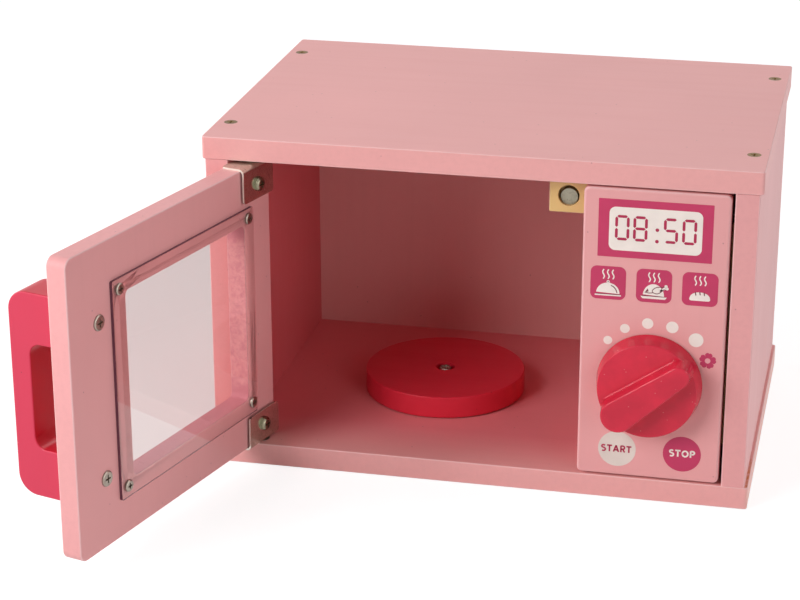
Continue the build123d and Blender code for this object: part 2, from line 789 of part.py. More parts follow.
# Hinge brackets: one leaf on the door's inner face and one over its edge
with BuildPart() as upper_hinge_bracket:
    with BuildSketch(
        Plane(origin=hinge_corner + along * BRACKET_END, x_dir=outward, z_dir=-along)
    ):
        with BuildLine():
            Polyline(
                (-bracket_face, door_top_z - BRACKET_LEAF),
                (-bracket_face, door_top_z + BRACKET_THICKNESS),
                (BRACKET_FRONT, door_top_z + BRACKET_THICKNESS),
                (BRACKET_FRONT, door_top_z),
                (-BRACKET_STAND_OFF, door_top_z),
                (-BRACKET_STAND_OFF, door_top_z - BRACKET_LEAF),
                close=True,
            )
        make_face()
        for radius in (BRACKET_BEND_RADIUS, BRACKET_BEND_RADIUS - BRACKET_THICKNESS):
            fillet(vertices().sort_by(lambda corner: corner.X - corner.Y)[0], radius)
    extrude(amount=BRACKET_END - BRACKET_START)
    tip = upper_hinge_bracket.faces().sort_by(door_depth)[-1]
    tip_corners = tip.edges().filter_by(Axis.Z).sort_by(door_length)
    fillet(tip_corners[0], BRACKET_TIP_RADIUS)
    tip = upper_hinge_bracket.faces().sort_by(door_depth)[-1]
    tip_corners = tip.edges().filter_by(Axis.Z).sort_by(door_length)
    leaf_end = upper_hinge_bracket.faces().sort_by(Axis.Z)[0]
    fillet(
        [tip_corners[-1]] + leaf_end.edges().filter_by(door_depth),
        BRACKET_CORNER_RADIUS,
    )
    drill(
        bracket_screw_places,
        BRACKET_SCREW_SHANK_RADIUS,
        BRACKET_THICKNESS,
    )
    drill(
        [facing_up(hinge_x, hinge_y, door_top_z + BRACKET_THICKNESS)],
        PIVOT_RADIUS + TURNING_FIT,
        BRACKET_THICKNESS,
    )
save(upper_hinge_bracket, "upper_hinge_bracket")

with BuildPart() as lower_hinge_bracket:
    mirror(upper_hinge_bracket.part, about=Plane.XY.offset(door_middle_z))
save(lower_hinge_bracket, "lower_hinge_bracket")

with BuildPart() as hinge_bracket_screws:
    copies(
        pan_screw(
            BRACKET_SCREW_HEAD_RADIUS,
            BRACKET_SCREW_HEAD_HEIGHT,
            BRACKET_SCREW_SHANK_RADIUS,
            BRACKET_SCREW_LENGTH,
            BRACKET_SCREW_RECESS,
            BRACKET_SCREW_DOME_RADIUS,
        ),
        bracket_screw_places,
    )
save(hinge_bracket_screws, "hinge_bracket_screws")

with BuildPart() as hinge_bracket_washers:
    for height in bracket_screw_heights:
        ring(
            facing_inward(BRACKET_SCREW_ALONG, height, -BRACKET_STAND_OFF),
            BRACKET_WASHER_RADIUS,
            BRACKET_SCREW_SHANK_RADIUS,
            BRACKET_STAND_OFF,
        )
save(hinge_bracket_washers, "hinge_bracket_washers")

# Pivot screws into the case's boards, and the washers that keep the door off the boards
upper_head_z = door_top_z - FACE_GAP
lower_head_z = door_bottom_z + FACE_GAP
with BuildPart() as upper_hinge_pivot:
    copies(
        pan_screw(
            PIVOT_HEAD_RADIUS,
            PIVOT_HEAD_HEIGHT,
            PIVOT_RADIUS,
            ceiling_z + PIVOT_DEPTH - upper_head_z,
            PIVOT_RECESS,
        ),
        [facing_down(hinge_x, hinge_y, upper_head_z)],
    )
save(upper_hinge_pivot, "upper_hinge_pivot")

with BuildPart() as lower_hinge_pivot:
    copies(
        pan_screw(
            PIVOT_HEAD_RADIUS,
            PIVOT_HEAD_HEIGHT,
            PIVOT_RADIUS,
            lower_head_z - BOARD + PIVOT_DEPTH,
            PIVOT_RECESS,
        ),
        [facing_up(hinge_x, hinge_y, lower_head_z)],
    )
save(lower_hinge_pivot, "lower_hinge_pivot")

with BuildPart() as hinge_washers:
    ring(
        facing_up(hinge_x, hinge_y, ceiling_z),
        PIVOT_WASHER_RADIUS,
        PIVOT_RADIUS,
        ceiling_z - door_top_z - BRACKET_THICKNESS - FACE_GAP,
    )
    ring(
        facing_down(hinge_x, hinge_y, BOARD),
        PIVOT_WASHER_RADIUS,
        PIVOT_RADIUS,
        door_bottom_z - BOARD - BRACKET_THICKNESS - FACE_GAP,
    )
save(hinge_washers, "hinge_washers")
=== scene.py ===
from math import acos, atan2, cos, pi, radians, sin

import bmesh
import bpy
from mathutils import Matrix, Vector


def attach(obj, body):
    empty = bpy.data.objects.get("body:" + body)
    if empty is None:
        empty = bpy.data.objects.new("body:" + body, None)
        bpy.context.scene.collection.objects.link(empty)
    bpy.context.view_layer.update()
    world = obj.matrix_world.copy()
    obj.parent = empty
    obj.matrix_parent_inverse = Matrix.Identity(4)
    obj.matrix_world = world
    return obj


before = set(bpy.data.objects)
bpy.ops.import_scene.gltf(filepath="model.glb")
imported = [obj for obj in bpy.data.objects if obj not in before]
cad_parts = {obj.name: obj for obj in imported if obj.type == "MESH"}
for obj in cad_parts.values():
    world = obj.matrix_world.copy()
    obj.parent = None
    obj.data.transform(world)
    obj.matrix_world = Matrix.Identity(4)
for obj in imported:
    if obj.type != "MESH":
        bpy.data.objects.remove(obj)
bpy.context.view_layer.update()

MM = 0.001

# Camera
CAMERA_PLACE = (0.2042, -1.1788, 0.5242)
CAMERA_HEADING = 12.70
CAMERA_PITCH = 20.98
CAMERA_ROLL = -0.14
CAMERA_LENS = 104.06
CAMERA_SENSOR = 36.0

# Lamps: name, place, target, side, power
LAMPS = (
    ("key", (-0.9, -1.15, 0.85), (0.0, -0.05, 0.09), 0.85, 17.6),
    ("left", (-2.0, 0.0, 0.9), (0.0, -0.05, 0.09), 1.2, 20.0),
    ("right", (2.0, 0.0, 0.7), (0.0, -0.05, 0.09), 1.2, 10.5),
    ("right_front", (1.4, -1.5, 0.7), (0.0, -0.05, 0.09), 1.0, 7.0),
    ("back", (0.2, 1.0, 1.7), (0.0, -0.05, 0.09), 1.2, 10.5),
)

# White surroundings: their strength as light, and the share of them that is seen through clear parts
WORLD_STRENGTH = 0.03
SEEN_THROUGH = 0.62

# Floor: half its side, its drop below the part, its tone for light and for the eye, its glow and its sheen
FLOOR_REACH = 6.0
FLOOR_DROP = 0.0002
FLOOR_LIT = 0.86
FLOOR_SEEN = 0.38
FLOOR_GLOW = 0.79
FLOOR_ROUGHNESS = 0.9
FLOOR_SPECULAR = 0.1
WHITE = (1.0, 1.0, 1.0, 1.0)

# The open door's own frame: its hinge edge at the inner face, and its opening angle
DOOR_ORIGIN = (-0.11163, -0.08487, 0.0)
DOOR_ANGLE = -105.6

# The window opening in the door's own frame: distance from the hinge edge and height, low and high
WINDOW_LOW = (0.026, 0.0415)
WINDOW_HIGH = (0.132, 0.138)
WINDOW_MARGIN = 0.002

# Rough cut edges round the window: their colour, and where above and below mid height they get rougher
JAMB_PINK = (0.66, 0.26, 0.30, 1.0)
JAMB_ENDS = (0.038, 0.046)
JAMB_ENDS_ROUGHER = 0.3

# Nearer than this to the part's origin, measured along the door, the pane's rim is on the hinge side
PANE_HINGE_SIDE = 0.1308

# Directions that the boards' broad faces look in
FLAT = (0.0, 0.0, 1.0)
SIDEWAYS = (1.0, 0.0, 0.0)
FORWARD = (0.0, 1.0, 0.0)

# The cooking space: its sides, floor, ceiling and back, and where its painted light and shade start behind
# the front
CAVITY_LOW = (-0.1289, 0.0119)
CAVITY_HIGH = (0.0545, 0.1691)
CAVITY_BACK = 0.0835
CAVITY_FADE = (-0.098, -0.06)

# Bare wood on the bottom board beside the right side panel: where it starts, where it fades, what remains
SEAM_START = (0.1402, 0.02)
SEAM_FADE = (-0.075, -0.058)
SEAM_REMAINS = 0.12

# How squarely a face looks in the broad direction where a board's cut edge starts and where it is full
EDGE_FACING = (0.8, 0.3)

# Share of a speck's radius inside which it is full
SPECK_CORE = 0.6

# Painted shade on the handle's faces that don't look along the door: its tint and its share
SIDE_SHADE_TINT = (0.85, 0.1, 0.2)
SIDE_SHADE_SHARE = 0.85

# Noises in the surfaces: scale and detail, then roughness and stretch where they count
CLOUD_NOISE = (9.0, 2.0)
STREAK_NOISE = (160.0, 4.0, 0.6)
PEEL_NOISE = (700.0, 2.0)
MOTTLE_NOISE = (330.0, 5.0, 0.65)
LOSS_NOISE = (260.0, 3.0)
CRUMBLE_NOISE = (310.0, 6.0, 0.75)
BLOTCH_NOISE = (240.0, 3.0)
DIRT_NOISE = (900.0, 3.0, 0.7)
BRUSH_NOISE = (1500.0, 2.0, 0.6, (1.0, 1.0, 0.15))
TONE_NOISE = (70.0, 3.0)
GRAIN_NOISE = (900.0, 2.0)
SCRATCH_NOISE = (60.0, 6.0, 0.8, (1.0, 1.0, 7.0))
SMEAR_NOISE = (26.0, 6.0, 0.7, (1.0, 1.0, 2.6))
STREAK_STRETCH = 0.06

# Noise values between which the clouds in paint and metal, and in plastic, go from dark to light
CLOUD_RANGE = (0.3, 0.7)
TONE_RANGE = (0.35, 0.65)

# Marks: the noise value above which each shows, and its gain
LOSS_ABOVE = (0.25, 3.0)
CRUMBLE_ABOVE = (0.42, 5.0)
STREAK_ABOVE = (0.5, 0.35)
WORN_ABOVE = (0.42, 0.5)
DIRT_ABOVE = (0.52, 2.2)
SCRATCH_ABOVE = (0.62, 1.2)

# Specks: scale and radius in paint, radius in plastic, and how strongly each shows
PAINT_SPECKS = (95.0, 0.0005)
PAINT_SPECK_SHARE = 0.5
CHIP_RADIUS = 0.0003
CHIP_SHARE = 0.6

# Tones of the marks against their ground: below 1 darker, or the share of white
STREAK_TINT = 0.8
SPECK_TINT = 0.4
WORN_TINT = 0.72
SCRATCH_TINT = 0.8
PLATE_TINTS = (0.9, 1.05)
# The next two set the painted highlight along the boards' rounded corners: its share of white and its base
# strength
HIGHLIGHT_WHITE = 0.3
HIGHLIGHT_BASE = 0.25
CHIP_WHITE = 0.3

# Relief: strength and height
EDGE_RELIEF = (0.12, 0.0004)
JAMB_RELIEF = (0.7, 0.0016)
STREAK_RELIEF = (0.1, 0.0003)
PEEL_RELIEF = (0.06, 0.0002)
METAL_RELIEF = (0.06, 0.0001)
PLASTIC_RELIEF = (0.08, 0.0002)

# How far the roughness wanders about its middle in paint, metal and plastic, and its most on the pane
PAINT_WANDER = 0.08
METAL_WANDER = 0.07
PLASTIC_WANDER = 0.05
PANE_ROUGHNESS = 0.03
PANE_IOR = 1.49

# How squarely a face has to look up or down, or along the door, to count as flat or as cut sheet
FLAT_FACING = 0.9
CUT_FACING = 0.7
CUT_METALLIC = 0.35

# Thin rounded edges on the sheet metal
BEVEL_WIDTH = 0.00018
BEVEL_ANGLE = 40
BEVEL_SEGMENTS = 2

# The control panel's front face, and how far each layer of print stands in front of it
PANEL_FRONT = -100.0
LAYER_BASE = 0.05
LAYER_MIDDLE = 0.09
LAYER_TOP = 0.13


def srgb(r, g, b):
    """Linear colour from the 0 to 255 values of a screen colour."""
    def linear(v):
        v /= 255
        return v / 12.92 if v <= 0.04045 else ((v + 0.055) / 1.055) ** 2.4
    return (linear(r), linear(g), linear(b), 1.0)


# Materials

def new_material(name):
    """An empty Principled material: returns the material, its node tree and its shader."""
    material = bpy.data.materials.new(name)
    material.use_nodes = True
    tree = material.node_tree
    return material, tree, tree.nodes["Principled BSDF"]


def object_place(tree):
    """The place on the object."""
    return tree.nodes.new("ShaderNodeTexCoord").outputs["Object"]


def noise(tree, scale, detail=3.0, roughness=0.55, stretch=(1, 1, 1)):
    """Noise in object space, drawn out along an axis by a small stretch value."""
    mapping = tree.nodes.new("ShaderNodeMapping")
    mapping.inputs["Scale"].default_value = stretch
    texture = tree.nodes.new("ShaderNodeTexNoise")
    texture.inputs["Scale"].default_value = scale
    texture.inputs["Detail"].default_value = detail
    texture.inputs["Roughness"].default_value = roughness
    tree.links.new(object_place(tree), mapping.inputs["Vector"])
    tree.links.new(mapping.outputs["Vector"], texture.inputs["Vector"])
    return texture.outputs["Fac"]


def ramp(tree, value, low, high, first, last):
    """Maps a value between two limits to a blend of two colours."""
    node = tree.nodes.new("ShaderNodeValToRGB")
    node.color_ramp.elements[0].position = low
    node.color_ramp.elements[1].position = high
    node.color_ramp.elements[0].color = first
    node.color_ramp.elements[1].color = last
    tree.links.new(value, node.inputs["Fac"])
    return node.outputs["Color"]


def between(tree, value, low, high, first=0.0, last=1.0):
    """Goes from a first to a last number while a value goes from low to high."""
    node = tree.nodes.new("ShaderNodeMapRange")
    node.inputs["From Min"].default_value = low
    node.inputs["From Max"].default_value = high
    node.inputs["To Min"].default_value = first
    node.inputs["To Max"].default_value = last
    tree.links.new(value, node.inputs["Value"])
    return node.outputs["Result"]


def spread(tree, value, middle, reach):
    """Spreads a 0 to 1 value about a middle number."""
    return between(tree, value, 0.0, 1.0, middle - reach, middle + reach)


def bump(tree, shader, height, strength, distance):
    """Adds relief to a shader."""
    node = tree.nodes.new("ShaderNodeBump")
    node.inputs["Strength"].default_value = strength
    node.inputs["Distance"].default_value = distance
    tree.links.new(height, node.inputs["Height"])
    previous = shader.inputs["Normal"]
    if previous.is_linked:
        tree.links.new(previous.links[0].from_socket, node.inputs["Normal"])
    tree.links.new(node.outputs["Normal"], previous)


def tinted(colour, factor):
    """The colour made lighter or darker."""
    return (colour[0] * factor, colour[1] * factor, colour[2] * factor, 1.0)


def lightened(colour, amount):
    """The colour mixed with white."""
    return tuple(c + (1 - c) * amount for c in colour)


def outward_of_door():
    """The direction that the open door's outer face looks in."""
    return (sin(radians(DOOR_ANGLE)), -cos(radians(DOOR_ANGLE)), 0.0)


def along_door():
    """The direction from the open door's hinge edge to its free edge."""
    return (cos(radians(DOOR_ANGLE)), sin(radians(DOOR_ANGLE)), 0.0)


def calc(tree, operation, first, second=None):
    """A math node on values or numbers, kept between 0 and 1."""
    node = tree.nodes.new("ShaderNodeMath")
    node.operation = operation
    node.use_clamp = True
    for socket, value in zip(node.inputs, (first, second)):
        if isinstance(value, (int, float)):
            socket.default_value = value
        elif value is not None:
            tree.links.new(value, socket)
    return node.outputs["Value"]


def above(tree, value, limit, gain):
    """How far a value is above a limit, times a gain."""
    return calc(tree, "MULTIPLY", calc(tree, "SUBTRACT", value, limit), gain)


def mix_colour(tree, factor, first, second):
    """Blends two colours, each a constant or a socket, by a value."""
    node = tree.nodes.new("ShaderNodeMix")
    node.data_type = "RGBA"
    tree.links.new(factor, node.inputs["Factor"])
    for socket, value in ((node.inputs["A"], first), (node.inputs["B"], second)):
        if isinstance(value, tuple):
            socket.default_value = value
        else:
            tree.links.new(value, socket)
    return node.outputs["Result"]


def axes_of(tree, place):
    """X, Y and Z of a place."""
    split = tree.nodes.new("ShaderNodeSeparateXYZ")
    tree.links.new(place, split.inputs["Vector"])
    return split.outputs


def inside(tree, axes, limits):
    """1 where every axis is past its limit, on the side given, 0 elsewhere."""
    result = 1.0
    for axis, operation, limit in limits:
        result = calc(tree, "MULTIPLY", result, calc(tree, operation, axes[axis], limit))
    return result


def share_along(tree, vector, direction):
    """How much of a vector points along a direction."""
    dot = tree.nodes.new("ShaderNodeVectorMath")
    dot.operation = "DOT_PRODUCT"
    dot.inputs[1].default_value = direction
    tree.links.new(vector, dot.inputs[0])
    return dot.outputs["Value"]


def facing(tree, direction):
    """1 on faces that look along a direction or against it, 0 on faces at right angles to it."""
    outward = tree.nodes.new("ShaderNodeTexCoord").outputs["Normal"]
    return calc(tree, "ABSOLUTE", share_along(tree, outward, direction))


def edge_mask(tree, direction):
    """1 on the cut edges of a board whose broad faces look along a direction, 0 on those faces."""
    return between(tree, facing(tree, direction), *EDGE_FACING)


def corner_mask(tree, direction):
    """1 along the rounded corner between a broad face and a cut edge, where the painted highlight goes, 0
    elsewhere.
    """
    turned = facing(tree, direction)
    rise = calc(tree, "MULTIPLY", turned, calc(tree, "SUBTRACT", 1.0, turned))
    return calc(tree, "MULTIPLY", rise, 4.0)


def specks(tree, scale, radius):
    """1 inside sparse round specks, 0 elsewhere."""
    texture = tree.nodes.new("ShaderNodeTexVoronoi")
    texture.inputs["Scale"].default_value = scale
    tree.links.new(object_place(tree), texture.inputs["Vector"])
    return between(tree, texture.outputs["Distance"], radius * scale, radius * scale * SPECK_CORE)


def window_mask(tree):
    """1 near the door's window opening, 0 elsewhere."""
    mapping = tree.nodes.new("ShaderNodeMapping")
    mapping.vector_type = "TEXTURE"
    mapping.inputs["Location"].default_value = DOOR_ORIGIN
    mapping.inputs["Rotation"].default_value = (0, 0, radians(DOOR_ANGLE))
    tree.links.new(object_place(tree), mapping.inputs["Vector"])
    return inside(tree, axes_of(tree, mapping.outputs["Vector"]), (
        ("X", "GREATER_THAN", WINDOW_LOW[0] - WINDOW_MARGIN),
        ("X", "LESS_THAN", WINDOW_HIGH[0] + WINDOW_MARGIN),
        ("Z", "GREATER_THAN", WINDOW_LOW[1] - WINDOW_MARGIN),
        ("Z", "LESS_THAN", WINDOW_HIGH[1] + WINDOW_MARGIN),
    ))


def cavity_shade_mask(tree):
    """Where the cooking space gets its painted light and shade: 0 at the front, rising to 1 further in, 0
    outside.
    """
    axes = axes_of(tree, object_place(tree))
    space = inside(tree, axes, (
        ("X", "GREATER_THAN", CAVITY_LOW[0]),
        ("X", "LESS_THAN", CAVITY_HIGH[0]),
        ("Y", "LESS_THAN", CAVITY_BACK),
        ("Z", "GREATER_THAN", CAVITY_LOW[1]),
        ("Z", "LESS_THAN", CAVITY_HIGH[1]),
    ))
    return calc(tree, "MULTIPLY", space, between(tree, axes["Y"], *CAVITY_FADE))


def right_end(tree, axes):
    """1 on the bottom board's end beyond the right side panel, 0 elsewhere."""
    return inside(tree, axes, (("X", "GREATER_THAN", SEAM_START[0]), ("Z", "LESS_THAN", SEAM_START[1])))


def seam_mask(tree):
    """1 where the paint is missing on the bottom board, along the foot of the right side panel."""
    axes = axes_of(tree, object_place(tree))
    flat = calc(tree, "GREATER_THAN", facing(tree, FLAT), FLAT_FACING)
    strip = calc(tree, "MULTIPLY", right_end(tree, axes), flat)
    fade = between(tree, axes["Y"], *SEAM_FADE, 1.0, SEAM_REMAINS)
    ragged = above(tree, noise(tree, *LOSS_NOISE), *LOSS_ABOVE)
    return calc(tree, "MULTIPLY", strip, calc(tree, "MULTIPLY", fade, ragged))


def right_end_sheen_mask(tree):
    """1 on the bottom board's right cut edge, where a paler painted sheen goes, 0 elsewhere."""
    axes = axes_of(tree, object_place(tree))
    return calc(tree, "MULTIPLY", right_end(tree, axes), facing(tree, SIDEWAYS))


def rough_jamb(tree, shader, paint, edges):
    """Rough, deeper paint on the cut edges round the window, roughest at its top and foot."""
    jamb = calc(tree, "MULTIPLY", edges, window_mask(tree))
    away = tree.nodes.new("ShaderNodeMath")
    away.operation = "SUBTRACT"
    away.inputs[1].default_value = (WINDOW_LOW[1] + WINDOW_HIGH[1]) / 2
    tree.links.new(axes_of(tree, object_place(tree))["Z"], away.inputs[0])
    ends = between(tree, calc(tree, "ABSOLUTE", away.outputs["Value"]), *JAMB_ENDS, 0.0, JAMB_ENDS_ROUGHER)
    crumble = calc(tree, "ADD", noise(tree, *CRUMBLE_NOISE), ends)
    bump(tree, shader, calc(tree, "MULTIPLY", jamb, crumble), *JAMB_RELIEF)
    deep = calc(tree, "MULTIPLY", jamb, above(tree, crumble, *CRUMBLE_ABOVE))
    return mix_colour(tree, deep, paint, JAMB_PINK)


def painted_wood(
    name,
    colour,
    roughness,
    grain_axis,
    broad=None,
    specular=0.25,
    variation=0.03,
    inner=None,
    window=False,
    seam=False,
    side_shade_axis=None,
):
    """Satin paint over wood: faint clouds, brushed streaks, specks, and rougher cut edges; with painted
    light and shade in the cooking space, a painted highlight along rounded corners, painted shade on the
    faces away from a direction, and a painted sheen on the bottom board's right end.
    """
    material, tree, shader = new_material(name)
    shader.inputs["Specular IOR Level"].default_value = specular
    stretch = [1.0, 1.0, 1.0]
    stretch[grain_axis] = STREAK_STRETCH
    cloud = noise(tree, *CLOUD_NOISE)
    paint = ramp(tree, cloud, *CLOUD_RANGE, tinted(colour, 1 - variation), tinted(colour, 1 + variation))
    # Painted light and shade inside the cooking space: the given colour replaces the paint there
    if inner is not None:
        paint = mix_colour(tree, cavity_shade_mask(tree), paint, inner)
    # Painted shade: faces that don't look along the given direction are darkened and reddened
    if side_shade_axis is not None:
        sides = calc(tree, "MULTIPLY", calc(tree, "SUBTRACT", 1.0, facing(tree, side_shade_axis)), SIDE_SHADE_SHARE)
        deeper = tuple(c * share for c, share in zip(colour, SIDE_SHADE_TINT)) + (1.0,)
        paint = mix_colour(tree, sides, paint, deeper)
    if seam:
        paint = mix_colour(tree, seam_mask(tree), paint, BARE_WOOD)
        # Painted sheen: the bottom board's right cut edge is made paler
        paint = mix_colour(tree, right_end_sheen_mask(tree), paint, PALE_SHEEN_PINK)
    streak = noise(tree, *STREAK_NOISE, stretch)
    paint = mix_colour(tree, above(tree, streak, *STREAK_ABOVE), paint, tinted(colour, STREAK_TINT))
    dots = calc(tree, "MULTIPLY", specks(tree, *PAINT_SPECKS), PAINT_SPECK_SHARE)
    paint = mix_colour(tree, dots, paint, tinted(colour, SPECK_TINT))
    if broad is not None:
        edges = edge_mask(tree, broad)
        mottle = noise(tree, *MOTTLE_NOISE)
        # Painted highlight: a lighter line along the rounded corners between broad faces and cut edges
        painted_highlight = calc(tree, "MULTIPLY", corner_mask(tree, broad), calc(tree, "ADD", HIGHLIGHT_BASE, mottle))
        paint = mix_colour(tree, painted_highlight, paint, lightened(colour, HIGHLIGHT_WHITE))
        worn = calc(tree, "MULTIPLY", edges, above(tree, mottle, *WORN_ABOVE))
        paint = mix_colour(tree, worn, paint, tinted(colour, WORN_TINT))
        bump(tree, shader, calc(tree, "MULTIPLY", edges, mottle), *EDGE_RELIEF)
        if window:
            paint = rough_jamb(tree, shader, paint, edges)
    tree.links.new(paint, shader.inputs["Base Color"])
    tree.links.new(spread(tree, streak, roughness, PAINT_WANDER), shader.inputs["Roughness"])
    bump(tree, shader, streak, *STREAK_RELIEF)
    bump(tree, shader, noise(tree, *PEEL_NOISE), *PEEL_RELIEF)
    return material


def metal(name, colour, roughness, cut_edges=None):
    """Plated steel with faint brushing and a little dirt, and paler, less metallic where the sheet was cut:
    bare steel there, with a painted highlight along the cut edges.
    """
    material, tree, shader = new_material(name)
    shader.inputs["Metallic"].default_value = 1.0
    darker, lighter = [tinted(colour, factor) for factor in PLATE_TINTS]
    plated = ramp(tree, noise(tree, *BLOTCH_NOISE), *CLOUD_RANGE, darker, lighter)
    spots = above(tree, noise(tree, *DIRT_NOISE), *DIRT_ABOVE)
    surface = mix_colour(tree, spots, plated, DIRT)
    if cut_edges is not None:
        # Cut edges: pale bare steel and a painted highlight, less metallic so they show bright
        cut = calc(tree, "GREATER_THAN", facing(tree, cut_edges), CUT_FACING)
        surface = mix_colour(tree, cut, surface, CUT_STEEL_HIGHLIGHT)
        tree.links.new(between(tree, cut, 0.0, 1.0, 1.0, CUT_METALLIC), shader.inputs["Metallic"])
    tree.links.new(surface, shader.inputs["Base Color"])
    fine = noise(tree, *BRUSH_NOISE)
    tree.links.new(spread(tree, fine, roughness, METAL_WANDER), shader.inputs["Roughness"])
    bump(tree, shader, fine, *METAL_RELIEF)
    return material


def plain_plastic(name, colour, roughness, specular=0.5, variation=0.04, speck_scale=105.0):
    """Moulded plastic or ink with faint specks."""
    material, tree, shader = new_material(name)
    shader.inputs["Specular IOR Level"].default_value = specular
    cloud = noise(tree, *TONE_NOISE)
    ground = ramp(tree, cloud, *TONE_RANGE, tinted(colour, 1 - variation), tinted(colour, 1 + variation))
    chips = calc(tree, "MULTIPLY", specks(tree, speck_scale, CHIP_RADIUS), CHIP_SHARE)
    surface = mix_colour(tree, chips, ground, lightened(colour, CHIP_WHITE))
    tree.links.new(surface, shader.inputs["Base Color"])
    fine = noise(tree, *GRAIN_NOISE)
    tree.links.new(spread(tree, fine, roughness, PLASTIC_WANDER), shader.inputs["Roughness"])
    bump(tree, shader, fine, *PLASTIC_RELIEF)
    return material


def clear_sheet(name, tint, rim):
    """Clear acrylic that lets light through to the wood behind it, with its cut edges on three sides painted
    dark: painted shade.
    """
    material, tree, shader = new_material(name)
    shader.inputs["Transmission Weight"].default_value = 1.0
    shader.inputs["IOR"].default_value = PANE_IOR
    edges = edge_mask(tree, outward_of_door())
    clear_part = calc(tree, "SUBTRACT", 1.0, edges)
    tree.links.new(clear_part, shader.inputs["Transmission Weight"])
    scratches = above(tree, noise(tree, *SCRATCH_NOISE), *SCRATCH_ABOVE)
    face = mix_colour(tree, scratches, tint, tinted(tint, SCRATCH_TINT))
    # Painted shade: the pane's cut edges take the dark edge colour
    tree.links.new(mix_colour(tree, edges, face, rim), shader.inputs["Base Color"])
    smear = noise(tree, *SMEAR_NOISE)
    tree.links.new(between(tree, smear, 0.0, 1.0, 0.0, PANE_ROUGHNESS), shader.inputs["Roughness"])
    path = tree.nodes.new("ShaderNodeLightPath")
    lit_through = calc(tree, "MULTIPLY", path.outputs["Is Shadow Ray"], clear_part)
    along = share_along(tree, object_place(tree), along_door())
    hinge_side = calc(tree, "LESS_THAN", along, PANE_HINGE_SIDE)
    unseen = calc(tree, "MAXIMUM", lit_through, calc(tree, "MULTIPLY", edges, hinge_side))
    tree.links.new(calc(tree, "SUBTRACT", 1.0, unseen), shader.inputs["Alpha"])
    return material


# Colours of paint, wood, plastic and ink
PINK = srgb(233, 165, 165)
# A lighter copy of PINK for the top and bottom boards: painted light
LIT_BOARD_PINK = srgb(237, 170, 168)
# The next two pinks are painted shade inside the cooking space, darker and redder on its floor, ceiling and
# walls
CAVITY_SHADE_PINK = srgb(233, 137, 143)
WALL_SHADE_PINK = srgb(223, 113, 119)
BACK_PINK = srgb(235, 178, 175)
# Painted light on the back panel inside the cooking space, a touch lighter than its paint
CAVITY_BACK_LIGHT_PINK = srgb(237, 180, 176)
# Painted sheen on the bottom board's right cut edge
PALE_SHEEN_PINK = srgb(250, 193, 183)
CRIMSON = srgb(205, 51, 80)
DISC_RED = srgb(214, 42, 62)
KNOB_RED = srgb(211, 38, 64)
BARE_WOOD = srgb(206, 120, 62)
RAW_WOOD = srgb(212, 172, 118)
LACQUER = srgb(220, 182, 116)
MAGENTA = srgb(196, 58, 98)
DEEP_MAGENTA = srgb(176, 42, 78)
PLUM = srgb(120, 62, 72)
PRINT_WHITE = srgb(243, 231, 223)
# A darker copy of the white print: painted shade on the START disc
SHADED_PRINT_WHITE = srgb(224, 211, 202)
FLOWER_PINK = srgb(232, 166, 170)

# Colours of metal and of the pane
# NICKEL, BRASS_NICKEL and ZINC are darker than their plating: painted shade for the darker room they reflect
NICKEL = (0.36, 0.31, 0.26, 1)
PLATE = (0.62, 0.64, 0.54, 1)
BRASS_NICKEL = (0.26, 0.23, 0.16, 1)
ZINC = (0.17, 0.10, 0.025, 1)
MAGNET_GREY = (0.31, 0.285, 0.22, 1)
# Bare cut steel with a painted highlight on the sheet's cut edges
CUT_STEEL_HIGHLIGHT = (0.86, 0.82, 0.72, 1)
DIRT = (0.10, 0.05, 0.04, 1)
# The pane's tint darkens and warms what shows through it: painted shade for the shaded backdrop behind the
# window
PANE_TINT = (0.89, 0.80, 0.79, 1)
PANE_EDGE_SHADE = (0.16, 0.055, 0.085, 1)

# Axis that the grain runs along: the case's width or its height
WIDTH = 0
HEIGHT = 2

# Roughness and sheen of the paint and the inks
SATIN = 0.42
INK_ROUGHNESS = 0.4
INK_SPECULAR = 0.3

pink_flat = painted_wood("pink_paint_boards", LIT_BOARD_PINK, SATIN, WIDTH, FLAT, inner=CAVITY_SHADE_PINK, seam=True)
pink_side = painted_wood("pink_paint_sides", PINK, SATIN, HEIGHT, SIDEWAYS, inner=WALL_SHADE_PINK)
pink_front = painted_wood("pink_paint_front", PINK, SATIN, HEIGHT, FORWARD)
pink_back = painted_wood("pink_paint_back", BACK_PINK, 0.5, HEIGHT, inner=CAVITY_BACK_LIGHT_PINK)
pink_door = painted_wood("pink_paint_door", PINK, SATIN, HEIGHT, outward_of_door(), window=True)
crimson_door = painted_wood("crimson_paint_door", CRIMSON, 0.34, HEIGHT, specular=0.36, side_shade_axis=along_door())
crimson_disc = painted_wood("crimson_paint_disc", DISC_RED, 0.38, WIDTH)
knob_plastic = plain_plastic("crimson_plastic", KNOB_RED, 0.17, 0.3, variation=0.09, speck_scale=290.0)
magenta_ink = plain_plastic("magenta_ink", MAGENTA, INK_ROUGHNESS, INK_SPECULAR)
deep_ink = plain_plastic("deep_magenta_ink", DEEP_MAGENTA, INK_ROUGHNESS, INK_SPECULAR)
white_ink = plain_plastic("white_ink", PRINT_WHITE, INK_ROUGHNESS, INK_SPECULAR)
line_ink = plain_plastic("line_ink", PLUM, INK_ROUGHNESS, INK_SPECULAR)
nickel = metal("nickel_steel", NICKEL, 0.3)
plate = metal("nickel_plate", PLATE, 0.24, cut_edges=along_door())
brass_nickel = metal("brass_tinted_nickel", BRASS_NICKEL, 0.26)
zinc = metal("yellow_zinc", ZINC, 0.4)
magnet_grey = metal("magnet_metal", MAGNET_GREY, 0.5)
raw_wood = painted_wood("raw_wood", RAW_WOOD, 0.6, WIDTH, specular=0.3, variation=0.08)
lacquer = painted_wood("lacquered_wood", LACQUER, 0.3, WIDTH, FORWARD, specular=0.5, variation=0.06)
